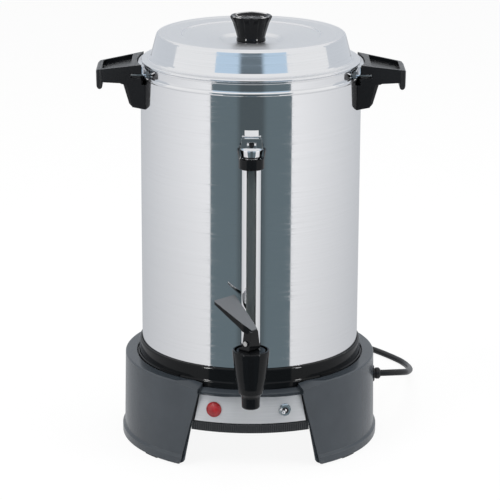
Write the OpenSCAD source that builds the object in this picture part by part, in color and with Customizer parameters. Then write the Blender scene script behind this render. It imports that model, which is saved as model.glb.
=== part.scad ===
// Percolating coffee urn: polished pot on a moulded base, with a drip faucet, a level gauge,
// two side handles, a lift-off lid and a removable stem and basket inside.
// Millimetres. +Z is up, the faucet faces -Y, and the origin is on the pot's axis at the counter.

/* [Pot] */
// Outside diameter of the pot
pot_d = 231; // [210:1:260]
// Height of the pot, from its underside to the top of its rim
pot_h = 307.8; // [270:0.2:360]
// Thickness of the pot's sheet
pot_wall = 1.6; // [1:0.1:2.5]
// Radius of the pot's rounded lower corner
pot_corner = 7; // [5:0.5:7]
// How far the neck under the rim stands inside the pot's wall
neck_in = 3.5; // [2.5:0.5:6]
// Height of the neck, from the bead to the top of the rim
neck_h = 11.8; // [11:0.2:20]
// Outside diameter of the pump well in the pot's bottom
well_d = 48; // [40:1:56]
// Depth of the pump well below the pot's underside
well_depth = 10; // [8:0.5:11]

/* [Lid] */
// Height of the lid, from the pot's rim to its crest
lid_h = 29.7; // [22:0.1:36]
// Thickness of the lid's sheet
lid_wall = 1.2; // [0.8:0.1:2]
// How far the lid's raised top stands inside the pot's wall
lid_step = 16.4; // [12:0.2:20]
// Depth of the dish in the middle of the lid
lid_dish = 9; // [5:0.5:12]
// Height of the knob
knob_h = 26.8; // [20:0.2:34]
// Diameter of the knob across its top
knob_d = 43.6; // [36:0.2:52]
// Number of flutes round the knob
knob_flutes = 14; // [10:1:18]

/* [Handles] */
// How far a handle reaches out from the pot's wall
handle_reach = 45.5; // [38:0.5:56]
// Width of a handle where it meets the pot
handle_w_in = 74; // [60:1:84]
// Width of a handle at its outer end
handle_w_out = 52; // [44:1:58]
// Height of a handle, from its top to the foot of its leg
handle_h = 44.8; // [38:0.2:52]
// Thickness of a handle's top plate, under its thumb tray
handle_top = 3.2; // [2.4:0.1:5]

/* [Base] */
// Height of the base shell above the counter
base_h = 91; // [80:1:104]
// Gap between the pot's wall and the outer edge of the base's shoulder
shoulder_out = 18.1; // [15:0.1:22]
// Thickness of the moulded base shell
base_wall = 3; // [2.4:0.1:4]
// How far the foot flange stands out beyond the shoulder
flange_out = 3.8; // [3:0.1:6]
// Height of the foot flange
flange_h = 9; // [7:0.5:12]
// How far the rubber feet lift the shell off the counter
foot_gap = 1.5; // [1:0.1:3]
// Half width of the front opening at its top
opening_top = 53.9; // [48:0.1:58]
// Half width of the front opening near the counter
opening_foot = 67.4; // [61:0.1:72]
// How much wider the shell's cut is than the opening's return near the counter
opening_return = 5.2; // [3:0.1:6]

/* [Control panel] */
// Height of the silver plate
plate_h = 28; // [24:0.2:29]
// Thickness of the silver plate
plate_t = 0.8; // [0.5:0.1:1.2]
// Diameter of the pilot lens
lens_d = 16; // [10:0.1:18]
// Distance of the pilot lens and the switch from the panel's middle
control_x = 36.6; // [30:0.2:42]
// Swing of the toggle lever to either side of straight
toggle_swing = 25; // [15:1:28]

/* [Faucet] */
// Distance from the pot's wall to the spout's axis
faucet_reach = 46; // [45:0.5:54]
// Height of the faucet's shank above the pot's underside
shank_up = 20.5; // [19.5:0.5:30]
// Diameter of the faucet's shank
shank_d = 19; // [15:0.5:20]
// Radius of the faucet body at its rim
faucet_r = 19; // [17.5:0.1:19]
// Length of the lever's paddle
lever_len = 38.5; // [34:0.5:40]
// Slope of the lever's paddle above the horizontal
lever_rise = 29.6; // [24:0.2:32]
// Direction of the lever, turned from straight back towards the left handle
lever_turn = 46; // [45:0.5:75]

/* [Level gauge] */
// Outside diameter of the gauge glass
glass_d = 15; // [12:0.5:16]
// Length of the gauge glass that shows between its sockets
glass_show = 184.5; // [150:0.5:200]
// Outside diameter of the polished shield round the glass
shield_d = 19.4; // [18.4:0.1:19.6]

/* [Percolator] */
// Outside diameter of the pump stem
stem_d = 14; // [10:0.5:16]
// Outside diameter of the coffee basket
basket_d = 150; // [120:1:180]
// Height of the coffee basket
basket_h = 66; // [50:1:90]
// Thickness of the basket's and spreader's sheet
basket_wall = 0.9; // [0.6:0.1:1.5]

/* [Cord] */
// Diameter of the power cord
cord_d = 7; // [6:0.5:8]

/* [Hidden] */

fit = 0.3;       // gap between faces of different bodies
run_fit = 0.05;  // radial clearance of a shaft that turns or slides in its bore
eps = 0.01;      // overrun of a cut past the face it opens
round_fn = 96;   // segments that mark a true round
fine_fn = 480;   // the same for a wide round cut into a small piece

pot_r = pot_d / 2;
pot_in = pot_r - pot_wall;
seat_z = base_h - 6;             // shelf in the base shell that carries the seat ring
ring_h = 21.5;                   // height of the seat ring
ring_ledge = 15;                 // the ring's inner ledge above the shelf
pot_z = seat_z + ring_ledge;     // underside of the pot
pot_top = pot_z + pot_h;
neck_r = pot_r - neck_in;
bead_round = 2.6;                // rounding of the bead
bead_out = 0.9;                  // how far the bead stands proud of the wall
bead_z = pot_top - neck_h - 0.4;
well_r = well_d / 2;
well_z = pot_z - well_depth;

lid_gap = fit;                   // lid above the rim
brim_z = pot_top + lid_gap;      // underside of the brim's hem
rim_out = 0.5;                   // how far the rolled rim stands out from the neck
rim_r = neck_r + rim_out;        // outside of the rolled rim
rim_round = 1.6;                 // radius of the rolled rim
brim_r = pot_r - 0.6;            // outside of the lid's brim
hem_t = 2 * lid_wall;            // thickness of the brim where its edge is folded under
hem_r = rim_r - 2 * rim_round - 1.5;
crest_z = pot_top + lid_h;
lid_mid_z = crest_z - lid_dish;  // top face of the lid at its centre
lid_top_r = pot_r - lid_step;
knob_bore = 2.5;

handle_in_r = pot_r + 3.4;       // concave inner edge of the handle
handle_x = pot_r + handle_reach; // outer end of the handle
handle_z = pot_top + 0.8;        // top of the handle at its inner edge
handle_slope = 9.3;              // fall of the handle's top towards its outer end
tray_depth = 4.2;                // thumb tray in the handle's top
slot_z0 = handle_z - 13.4;       // slot in the handle's sides for the bracket's tab
slot_z1 = handle_z - 8.8;
slot_x = pot_r + 9.5;
screw_z = handle_z - 31;         // handle screw

shoulder_r = pot_r + shoulder_out;
inner_edge_r = pot_r + 6;        // hole in the shoulder round the seat ring
flange_r = shoulder_r + flange_out;
front_shift = 20;                // the front slope's axis lies this far behind the pot's axis
front_top_r = inner_edge_r + front_shift + 0.6;  // front slope at the shoulder
front_foot_r = flange_r + front_shift + 0.6;     // front slope at the counter
front_bevel_h = 13;              // the panel's slope is measured this far below the shoulder
front_bevel = 5;                 // and this far outside the slope's axis at the shoulder
ramp_y = 107;                    // the shoulder falls towards the front from here on
ramp = 0.4;                      // and by this much a millimetre
ledge_z = base_h - 5.8;          // ledge over the panel, at its inner edge
ledge_drop = 2.4;                // fall of the ledge to its outer edge
opening_z = base_h - 9.7;        // top of the front opening
housing_z0 = base_h - 49.3;      // underside of the control housing
housing_z1 = opening_z - fit;
cover_z = housing_z0 - 1.4;      // underside of the bottom cover
cover_t = 1.2;
cover_r = pot_r - 4;
boss_r = pot_r - 9.2;            // posts for the cover's screws
plate_z1 = opening_z - 1.8;      // top edge of the silver plate
plate_z0 = plate_z1 - plate_h;
panel_back = 1.6;                // the housing's face behind the front slope
control_z = (plate_z0 + plate_z1) / 2 - 0.6;
lens_x = -control_x - 1;
switch_x = control_x - 1;

shank_z = pot_z + shank_up;
shank_r = shank_d / 2;
faucet_y = pot_r + faucet_reach;
faucet_top = shank_z + 22.5;
faucet_tip = shank_z - 39.8;
washer_r = 12;
washer_t = 1.4;                  // thinnest part of the outer washer
nut_seat = 3.3;                  // flat face of the inner washer inside the pot's wall
socket_r = 10.6;                 // gauge socket
bonnet_z0 = shank_z + 13;
bonnet_z1 = shank_z + 21.8;
seat_bore = 5.5;
valve_seat_z = shank_z - 18;
rod_r = 2.5;                     // valve stem
cam_h = 8;                       // pin above the bonnet's top
pin_z = bonnet_z1 + fit + cam_h;
pin_r = 1.5;
valve_lift = 4;                  // travel of the valve stem
neck_t = 10;                     // lever neck, front to back
lever_top = 14.4;                // front edge of the paddle above the pin
lever_edge = 4;                  // half width of the paddle's front edge
lever_foot = 8.4;                // half width of the neck's foot
cup_h = 8;                       // seat cup
cup_r = 9.5;

gauge_y = pot_r + 11.5;
glass_r = glass_d / 2;
shield_r = shield_d / 2;
shield_t = 0.8;
socket_top = shank_z + 18;
glass_z0 = socket_top - 4.8;
collar_z = socket_top + glass_show;   // underside of the collar
cap_z = collar_z + 10.5;              // underside of the cap's ring

stem_r = stem_d / 2;
stem_z0 = well_z + pot_wall + 1;
basket_r = basket_d / 2;
basket_z = pot_top - 10.8 - basket_h;
basket_top = basket_z + basket_h;
basket_tube = stem_r + fit;           // bore of the basket's centre tube
stem_top = basket_top + 12;

relief_turn = 5;                      // the cord leaves this far behind the +X axis, degrees
relief_z = 58.5;
relief_hole = 7.6;                    // hole in the shell for the strain relief
relief_r0 = shoulder_r + 0.4;         // shell's outer face at the strain relief
relief_len = 9;                       // nose of the strain relief outside the shell
cord_r = cord_d / 2;

// Route of the cord, from the strain relief to the start of its coil
cord_route = [[142.5, 12.5, 58.5], [147, 12.9, 58.5], [152.7, 14.2, 58.3], [158.8, 17, 57.6],
              [164.2, 21.1, 56.4], [168.5, 26.3, 54.8], [171.6, 32.4, 52.9],
              [173.9, 42.5, 49.6], [176.2, 56, 45.6], [178.4, 72, 40.7], [180.5, 90, 35.2],
              [182.4, 109, 29.3], [184, 128, 23.4], [185.4, 147, 17.4], [186.5, 165, 11.9],
              [187, 180, 7.8], [186.6, 193, 5], [184.4, 205, 3.7], [180, 215.8, 3.5],
              [174, 226, 3.5], [167, 236.4, 3.5], [158.8, 247.8, 3.5], [148.8, 260, 3.5],
              [137, 270.3, 3.5], [123, 277.8, 3.5], [105, 281.8, 3.5]];
// The short lead from the top of the coil to the plug
plug_lead = [[68, 282, 10.2], [61, 282, 9.7], [52, 282, 9.2], [45, 282, 9]];
coil_at = [85, 243];                  // centre of the coil
coil_mid = 39;                        // radius of the turns' middle
coil_turns = 2;                       // turns, one on the other

// Points of an arc about c, from angle a0 to a1
function arc(c, r, a0, a1, n) = [for (i = [0:n]) c + r * [cos(a0 + (a1 - a0) * i / n),
                                                       sin(a0 + (a1 - a0) * i / n)]];

function unit(v) = v / norm(v);
// Direction of a polyline at its point i
function heading(p, i) = unit(p[min(i + 1, len(p) - 1)] - p[max(i - 1, 0)]);

// A tube of radius r along the points p, with its sides counted by n
module sweep(p, r, n) {
    rings = [for (i = [0:len(p) - 1])
        let (t = heading(p, i), u = unit(cross(t, [0, 0, 1])), w = cross(u, t))
        for (k = [0:n - 1]) p[i] + r * (cos(360 * k / n) * u + sin(360 * k / n) * w)];
    last = len(p) - 1;
    sides = [for (i = [0:last - 1], k = [0:n - 1])
        [i * n + k, i * n + (k + 1) % n, (i + 1) * n + (k + 1) % n, (i + 1) * n + k]];
    polyhedron(rings, concat([[for (k = [n - 1:-1:0]) k]], sides,
                             [[for (k = [0:n - 1]) last * n + k]]));
}

module turned(points) {
    rotate_extrude($fn = round_fn) polygon(points);
}

module rod(r, z0, z1) {
    translate([0, 0, z0]) cylinder(r = r, h = z1 - z0, $fn = round_fn);
}

module pipe(r, bore, z0, z1) {
    difference() {
        rod(r, z0, z1);
        rod(bore, z0 - 1, z1 + 1);
    }
}

// A cylinder along Y, from y0 to y1
module rod_y(r, y0, y1) {
    translate([0, y1, 0]) rotate([90, 0, 0]) cylinder(r = r, h = y1 - y0, $fn = round_fn);
}

// ---------------------------------------------------------------- pot and lid

module pot() {
    rim_z = pot_top - rim_round;
    rim_start = acos(1 - rim_out / rim_round);
    color("silver") difference() {
        turned(concat(
            [[0, well_z]],
            arc([well_r - 3, well_z + 3], 3, -90, 0, 3),
            [[well_r, pot_z]],
            arc([pot_r - pot_corner, pot_z + pot_corner], pot_corner, -90, 0, 6),
            arc([pot_r + bead_out - bead_round, bead_z], bead_round, -49, 49, 6),
            [[neck_r, bead_z + 2.3]],
            arc([rim_r - rim_round, rim_z], rim_round, -rim_start, 240, 14),
            [[neck_r - pot_wall, bead_z + 1.2], [pot_in, bead_z + 0.4]],
            arc([pot_r - pot_corner, pot_z + pot_corner], pot_corner - pot_wall, 0, -90, 6),
            [[well_r - pot_wall, pot_z + pot_wall]],
            arc([well_r - 3, well_z + 3], 3 - pot_wall, 0, -90, 3),
            [[0, well_z + pot_wall]]));
        translate([0, 0, shank_z]) rod_y(shank_r + fit, -pot_r - 5, -pot_r + 20);
        for (s = [-1, 1]) translate([s * (pot_in - 3), 0, screw_z]) rotate([0, s * 90, 0])
            cylinder(r = 2.3, h = 8, $fn = round_fn);
    }
}

module lid() {
    fillet_at = [lid_top_r + 10.8, brim_z + hem_t + 5.6];
    corner_at = [lid_top_r - 3.8, crest_z - 4];
    ring_r = lid_top_r - 26;
    color("silver") turned(concat(
        // top side, from the centre outwards
        [[knob_bore, lid_mid_z], [28, lid_mid_z], [30.5, lid_mid_z + 1], [33.5, lid_mid_z + 2.6],
         [ring_r - 1.2, crest_z - 2.2], [ring_r, crest_z - 1.3], [corner_at[0] - 6, crest_z - 0.9],
         [corner_at[0] - 2.5, crest_z - 0.1]],
        arc(corner_at, 4, 90, 16, 5),
        arc(fillet_at, 5.6, 196, 270, 5),
        arc([brim_r - 1.7, brim_z + hem_t - 1.7], 1.7, 80, 0, 4),
        // underside, over the hem and back to the centre
        [[brim_r, brim_z + 0.5], [brim_r - 0.5, brim_z], [hem_r + 0.6, brim_z],
         [hem_r, brim_z + 0.6], [hem_r, brim_z + hem_t - lid_wall]],
        arc(fillet_at, 5.6 + lid_wall, 270, 196, 5),
        arc(corner_at, 4 - lid_wall, 16, 90, 5),
        [[corner_at[0] - 2.5, crest_z - lid_wall - 0.1],
         [corner_at[0] - 6, crest_z - lid_wall - 0.9], [ring_r + 0.5, crest_z - lid_wall - 1.3],
         [ring_r - 0.7, crest_z - lid_wall - 2.3], [33.8, lid_mid_z + 2.6 - lid_wall],
         [28.5, lid_mid_z - lid_wall], [knob_bore, lid_mid_z - lid_wall]]));
}

module knob() {
    foot_r = knob_d / 2 - 6.6;
    top_r = knob_d / 2;
    z1 = lid_mid_z + knob_h;
    lean = atan((top_r - foot_r) / (knob_h - 6));
    flute_r = 3.1;
    color([0.12, 0.12, 0.13]) difference() {
        turned([[0, lid_mid_z], [foot_r, lid_mid_z], [foot_r, lid_mid_z + 2],
                [foot_r - 0.6, lid_mid_z + 4], [foot_r + 1, lid_mid_z + 10],
                [top_r - 2.6, z1 - 7], [top_r - 0.4, z1 - 2.6], [top_r, z1 - 1.4],
                [top_r - 0.5, z1 - 0.4], [top_r - 1.8, z1], [top_r - 4, z1 - 0.6],
                [top_r - 7, z1 - 3], [5, z1 - 4.2], [0, z1 - 4.2]]);
        for (i = [0:knob_flutes - 1]) rotate([0, 0, 360 * (i + 0.5) / knob_flutes])
            translate([foot_r + 1.7, 0, lid_mid_z + 5]) rotate([0, lean, 0])
                cylinder(r1 = flute_r - 0.9, r2 = flute_r + 0.8, h = knob_h * 1.4, $fn = 24);
        rod(knob_bore, lid_mid_z - 1, lid_mid_z + 15);
    }
}

// Screw from under the lid into the knob, with its washer and hexagon head
module knob_screw() {
    z = lid_mid_z - lid_wall;
    color("gray") {
        rod(knob_bore - run_fit, z - 1, z + 14);
        rod(8, z - 1, z);
        translate([0, 0, z - 4]) cylinder(r = 4.6, h = 3, $fn = 6);
    }
}

// ---------------------------------------------------------------- handles

// Outline of a handle seen from above, towards +X; the inner edge follows the pot
module handle_plan(r) {
    a = asin(handle_w_in / 2 / r);
    corner = 7;
    end = handle_w_out / 2;
    polygon(concat(arc([0, 0], r, a, -a, 10),
                   arc([handle_x - corner, -end + corner], corner, -80, 0, 5),
                   arc([handle_x - corner, end - corner], corner, 0, 80, 5)));
}

// Top surface of a handle at a distance x from the axis
function handle_top_z(x) = handle_z - (x - handle_in_r) * tan(handle_slope);

// Side view of a handle: sloping top, outer lip and leg against the pot
module handle_side() {
    lip_z = handle_z - 27;
    polygon(concat(
        [[pot_r - 12, handle_top_z(pot_r - 12)], [handle_x - 2, handle_top_z(handle_x - 2)],
         [handle_x, handle_top_z(handle_x) - 1.6], [handle_x - 0.4, lip_z + 3.2]],
        arc([handle_x - 3.6, lip_z + 3.2], 3.2, 0, -180, 6),
        [[handle_x - 6.8, under_z], [leg_x + 3, under_z], [leg_x, under_z - 1.4],
         [leg_foot_x, leg_foot_z], [pot_r + 8.5, handle_z - handle_h + 0.8],
         [pot_r - 12, handle_z - handle_h - 2]]));
}

under_z = handle_z - 19.6;             // underside of the grip
leg_x = pot_r + 17.1;                  // outer face of the leg, at its top
leg_foot_x = pot_r + 11;               // and at its foot
leg_foot_z = handle_z - handle_h + 3.2;

module handle() {
    inset = 3.6;
    color([0.06, 0.06, 0.07]) difference() {
        intersection() {
            translate([0, 0, handle_z - handle_h - 5]) linear_extrude(handle_h + 10)
                handle_plan(pot_r + 0.2);
            rotate([90, 0, 0]) translate([0, 0, -60]) linear_extrude(120) handle_side();
        }
        // the brim, the bead and the bracket stay clear of the inner edge
        rod(handle_in_r, handle_z - 20, handle_z + 20);
        thumb_tray();
        finger_hollow(inset);
        // slot for the bracket's tab, open to both sides
        translate([pot_r - 20, -60, slot_z0]) cube([slot_x - pot_r + 20, 120, slot_z1 - slot_z0]);
        // screw hole in the leg
        translate([pot_r - 5, 0, screw_z]) rotate([0, 90, 0])
            cylinder(r = 2, h = 18, $fn = round_fn);
        leg_chamfers();
    }
}

// Half width of a handle at a distance x from the axis
function handle_half(x) = handle_w_in / 2 - (handle_w_in - handle_w_out) / 2
                          * (x - pot_r + 6) / (handle_x - 7 - pot_r + 6);

// Tray in the top whose floor follows the slope
module thumb_tray() {
    inset = 2.6;
    x0 = pot_r + 9;
    x1 = handle_x - 6;
    half_in = handle_half(x0) - inset;
    half_out = handle_half(x1) - inset;
    intersection() {
        translate([0, 0, handle_z - 40]) linear_extrude(60) polygon([
            [x0, half_in], [x0, -half_in], [x1 - 3, -half_out - 0.7], [x1, -half_out + 2.3],
            [x1, half_out - 2.3], [x1 - 3, half_out + 0.7]]);
        rotate([90, 0, 0]) translate([0, 0, -60]) linear_extrude(120) polygon([
            [x0 - 1, handle_top_z(x0 - 1) - tray_depth], [x1 + 1, handle_top_z(x1 + 1) - tray_depth],
            [x1 + 1, handle_z + 10], [x0 - 1, handle_z + 10]]);
    }
}

// Hollow under the grip
module finger_hollow(inset) {
    x0 = pot_r + 20.5;
    x1 = handle_x - 6.8;
    half = handle_w_out / 2 - inset;
    z0 = handle_z - 60;
    floor_t = tray_depth + handle_top;
    rotate([90, 0, 0]) translate([0, 0, -half]) linear_extrude(2 * half)
        polygon([[x0, z0], [x1, z0], [x1, handle_top_z(x1) - floor_t],
                 [x0, handle_top_z(x0) - floor_t]]);
}

// Bevels along the leg's two outer edges
module leg_chamfers() {
    bevel = 5;
    tall = handle_h - 12;
    lean = atan((leg_x - leg_foot_x) / (under_z - 1.4 - leg_foot_z));
    for (s = [-1, 1]) intersection() {
        translate([leg_x, s * handle_half(leg_x), under_z - 1.4]) rotate([0, lean, 0])
            rotate([s * 1.6, 0, 45]) translate([-bevel * 0.7, -bevel * 0.7, -2 * tall])
                cube([bevel * 1.4, bevel * 1.4, 3 * tall]);
        translate([pot_r, -60, under_z - 60]) cube([60, 120, 60 - 0.8]);
    }
}

module handle_right() { handle(); }
module handle_left() { mirror([1, 0, 0]) handle(); }

// Bright strap on the pot's neck, with an upstand inside each handle's edge and a tab in its slot
module handle_brackets() {
    t = 1.3;
    tab_z = bead_z + 2.4;
    span = 17;
    edge_r = handle_in_r - 0.8;
    color("silver") intersection() {
        for (s = [0, 180]) rotate([0, 0, s - span])
            rotate_extrude(angle = 2 * span, $fn = round_fn)
                polygon([[neck_r + 0.1, tab_z], [pot_r + 14, tab_z], [pot_r + 14, tab_z + t],
                         [edge_r, tab_z + t], [edge_r, pot_top - 0.5], [edge_r - 0.9, pot_top - 0.1],
                         [edge_r - 0.9, tab_z + t], [neck_r + 0.1 + t, tab_z + t],
                         [neck_r + 0.1 + t, pot_top - 5.2], [neck_r + 0.1, pot_top - 5.2]]);
        translate([0.8 - slot_x, -34.6, tab_z - 5]) cube([2 * slot_x - 1.6, 69.2, 40]);
    }
}

// One screw a handle, from inside the pot into the handle's leg
module handle_screws() {
    color("gray") for (s = [-1, 1]) translate([s * pot_in, 0, screw_z]) rotate([0, s * 90, 0]) {
        translate([0, 0, -0.3]) cylinder(r = 1.95, h = 13, $fn = round_fn);
        translate([0, 0, -2.9]) cylinder(r1 = 3.2, r2 = 4.6, h = 2.4, $fn = round_fn);
    }
}

// ---------------------------------------------------------------- base

module seat_ring() {
    low_r = pot_r + 4.4;
    span = 14;
    color([0.05, 0.05, 0.06]) {
        // lugs under the ledge
        for (a = [45:90:315]) rotate([0, 0, a - span / 2]) rotate_extrude(angle = span, $fn = round_fn)
            polygon([[low_r - 1.2, seat_z + 0.8], [low_r + 1.2, seat_z + 0.8],
                     [low_r + 1.2, seat_z + 7.4], [low_r - 1.2, seat_z + 8]]);
        turned(concat(
        [[pot_r - 9, seat_z], [low_r - 0.5, seat_z], [low_r, seat_z + 0.5],
         [low_r, seat_z + 6.2], [low_r - 0.8, seat_z + 7], [pot_r + 3.4, seat_z + 7.6]],
        arc([pot_r + 1.2, seat_z + ring_h - 1.8], 1.8, 5, 90, 4),
        [[pot_r + 0.4, seat_z + ring_h], [pot_r + 0.4, pot_z + pot_corner - 3],
         [pot_r - 1, pot_z], [pot_r - 12, pot_z], [pot_r - 12, pot_z - 2.6],
         [pot_r + 0.6, pot_z - 2.6], [pot_r + 0.9, seat_z + 3], [pot_r - 9, seat_z + 3]]));
    }
}

// Solid outline of the base, less skin all round; its shoulder falls towards the front
module base_form(skin, z0, z1) {
    r_top = shoulder_r - skin;
    foot = flange_r - skin;
    far = 160;
    intersection() {
        turned(concat(
            [[0, z0], [foot, z0], [foot, foot_gap + flange_h - 1.5 - skin / 2],
             [foot - 1, foot_gap + flange_h - 0.5 - skin / 2],
             [r_top + 1.4, foot_gap + flange_h + 1 - skin / 2]],
            arc([r_top - 1.6, z1 - 1.8], 1.8, 20, 90, 4),
            [[0, z1]]));
        rotate([90, 0, 90]) translate([0, 0, -far]) linear_extrude(2 * far) polygon([
            [-far, z0 - 1], [far, z0 - 1], [far, z1 + 1], [-ramp_y + 1 / ramp, z1 + 1],
            [-far, z1 - (far - ramp_y) * ramp]]);
    }
}

// Radius of the front slope about its own axis, at height z
function front_slope_r(z) = front_foot_r - (front_foot_r - front_top_r - front_bevel)
                            * z / (base_h - front_bevel_h);

// Front opening, with flared and rounded feet; grow widens it, spread only near the counter
module opening_prism(grow, top, spread = 0) {
    flare = 8 - spread;
    half = opening_foot + grow + spread;
    rotate([90, 0, 0]) linear_extrude(flange_r + 20) polygon(concat(
        [[-half - flare, -1], [-half - flare + 0.4, foot_gap]],
        arc([-half - flare, foot_gap + flare], flare, -88, 0, 4),
        [[-opening_top - grow, top], [opening_top + grow, top]],
        arc([half + flare, foot_gap + flare], flare, 180, 268, 4),
        [[half + flare - 0.4, foot_gap], [half + flare, -1]]));
}

module base_shell() {
    color([0.16, 0.17, 0.18]) difference() {
        union() {
            difference() {
                base_form(0, foot_gap, base_h);
                base_form(base_wall, foot_gap - 1, base_h - base_wall);
                rod(inner_edge_r, seat_z - 1, base_h + 1);
                opening_prism(0, opening_z, opening_return);
            }
            // skirt and shelf round the seat ring
            intersection() {
                base_form(0, foot_gap, base_h);
                pipe(inner_edge_r + 2.2, inner_edge_r, seat_z - base_wall, base_h - base_wall);
            }
            pipe(inner_edge_r + 1, pot_r - 14, seat_z - base_wall, seat_z);
            opening_frame();
            ledge_block();
            for (a = [45:90:315]) rotate([0, 0, a]) translate([boss_r, 0, 0])
                rod(4.2, cover_z + cover_t, seat_z - base_wall);
        }
        opening_prism(0, opening_z);
        panel_notch();
        // screw holes in the bosses
        for (a = [45:90:315]) rotate([0, 0, a]) translate([boss_r, 0, 0])
            rod(1.6, cover_z, cover_z + 14);
        // pockets for the rubber feet
        for (a = FOOT_AT) rotate([0, 0, a]) foot_pad(foot_gap - 1, foot_gap + 1.5, 0);
        // strain relief's hole
        relief_place() cylinder(r = relief_hole, h = 30, center = true, $fn = round_fn);
    }
}

// Return behind the shell along the two sides of the opening
module opening_frame() {
    deep = 5;
    intersection() {
        difference() {
            base_form(base_wall - 0.4, foot_gap, base_h - base_wall);
            base_form(base_wall + deep, foot_gap - 1, base_h - base_wall + 1);
        }
        difference() {
            opening_prism(2.5, opening_z, opening_return);
            opening_prism(0, opening_z + 1);
        }
    }
}

// Plan of the ledge over the panel, narrower towards the pot
module ledge_plan(grow) {
    wide = opening_top + 0.8 + grow;
    polygon([[-wide, -flange_r - 2], [wide, -flange_r - 2], [wide, -pot_r - 5.5],
             [wide - 7, -pot_r + 7.5], [7 - wide, -pot_r + 7.5], [-wide, -pot_r - 5.5]]);
}

// Solid under the ledge
module ledge_block() {
    difference() {
        intersection() {
            base_form(0, foot_gap, base_h);
            translate([0, 0, opening_z]) linear_extrude(20) ledge_plan(2);
        }
        rod(inner_edge_r, opening_z - 1, base_h + 1);
    }
}

// Cuts the shoulder down to the ledge over the panel
module panel_notch() {
    rim = front_slope_r(opening_z);
    difference() {
        translate([0, 0, opening_z + 0.2]) linear_extrude(20) ledge_plan(0);
        translate([0, front_shift, 0]) turned([
            [0, opening_z - 2], [rim, opening_z - 2], [rim, ledge_z - ledge_drop - 0.6],
            [rim - 0.6, ledge_z - ledge_drop], [rim - 6, ledge_z], [0, ledge_z]]);
    }
}

FOOT_AT = [-40, 40, 140, 220];

module foot_pad(z0, z1, grow) {
    span = 8;
    rotate([0, 0, -span / 2]) rotate_extrude(angle = span, $fn = round_fn)
        translate([flange_r - 5.4 - grow, z0]) square([4.2 + 2 * grow, z1 - z0]);
}

module rubber_feet() {
    color([0.1, 0.1, 0.1]) for (a = FOOT_AT) rotate([0, 0, a]) foot_pad(0, foot_gap + 1.5, 0);
}

// Shelf-mounted housing of the controls, flush with the front slope
module control_housing() {
    wall = 2.4;
    face = panel_back;
    lip_z = housing_z0 + 8.6;
    color([0.08, 0.08, 0.09]) difference() {
        union() {
            intersection() {
                translate([0, front_shift, 0]) turned(
                    [[90, housing_z0], [front_slope_r(housing_z0) - 0.4, housing_z0],
                     [front_slope_r(lip_z) - 0.4, lip_z - 1],
                     [front_slope_r(lip_z) - 1, lip_z],
                     [front_slope_r(lip_z + 0.4) - face, lip_z + 0.4],
                     [front_slope_r(housing_z1 - 1.2) - face, housing_z1 - 1.2],
                     [front_slope_r(housing_z1) - face - 1, housing_z1], [90, housing_z1]]);
                opening_prism(-fit, opening_z);
                translate([-80, -200, 0]) cube([160, 200 - pot_r + 10, 200]);
            }
        }
        // clear of the shelf and its skirt
        rod(inner_edge_r + 2.2 + fit, seat_z - base_wall - fit, base_h);
        // hollow behind the face
        intersection() {
            translate([0, front_shift, 0]) turned(
                [[60, housing_z0 + wall], [front_slope_r(housing_z0) - face - wall,
                  housing_z0 + wall], [front_slope_r(housing_z1) - face - wall,
                  housing_z1 - wall], [60, housing_z1 - wall]]);
            translate([-opening_top + wall + fit, -200, 0])
                cube([2 * (opening_top - wall - fit), 200, 200]);
        }
        panel_at(lens_x) cylinder(r = lens_d / 2 - 1.4, h = 20, center = true, $fn = round_fn);
        panel_at(switch_x) cylinder(r = 3.2, h = 20, center = true, $fn = round_fn);
    }
}

panel_r = front_slope_r(control_z) - panel_back + plate_t;  // the panel's face
panel_lean = atan((front_foot_r - front_top_r - front_bevel) / (base_h - front_bevel_h));

// A point behind the panel's face: x from the panel's middle, moved aside and inwards
function panel_point(x, aside, depth) =
    let (turn = asin(x / panel_r), inwards = depth * cos(panel_lean))
    [(panel_r - inwards) * sin(turn) + aside * cos(turn),
     front_shift - (panel_r - inwards) * cos(turn) + aside * sin(turn),
     control_z - depth * sin(panel_lean)];

// Moves to the panel's face at a distance x from its middle, +Z outwards
module panel_at(x) {
    translate(panel_point(x, 0, 0)) rotate([0, 0, asin(x / panel_r)])
        rotate([90 - panel_lean, 0, 0]) children();
}

module control_plate() {
    side = 1.8;
    color([0.8, 0.8, 0.82]) difference() {
        intersection() {
            translate([0, front_shift, 0]) turned(
                [[front_slope_r(plate_z0) - panel_back, plate_z0],
                 [front_slope_r(plate_z0) - panel_back + plate_t, plate_z0],
                 [front_slope_r(plate_z1) - panel_back + plate_t, plate_z1],
                 [front_slope_r(plate_z1) - panel_back, plate_z1]]);
            opening_prism(-side, opening_z);
            translate([-80, -200, 0]) cube([160, 200 - pot_r + 10, 200]);
        }
        panel_at(lens_x) cylinder(r = lens_d / 2 - 1.2, h = 9, center = true, $fn = round_fn);
        panel_at(switch_x) cylinder(r = 3.2, h = 9, center = true, $fn = round_fn);
    }
}

module pilot_lens() {
    r = lens_d / 2;
    color([0.75, 0.05, 0.06]) panel_at(lens_x) difference() {
        turned(concat([[0, -7], [r - 1.6, -7], [r - 1.6, 0], [r, 0], [r, 0.9]],
                      arc([0, -6.2], 10.4, 43, 90, 6)));
        rod(r - 3, -8, 0.6);
    }
}

// Neon lamp inside the lens
module pilot_lamp() {
    color([0.9, 0.5, 0.3]) panel_at(lens_x) {
        rod(2.8, -11, 0.3);
        rod(0.5, -18, -11);
    }
}

toggle_up = 2.6;                 // the toggle's pivot above the plate

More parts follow.
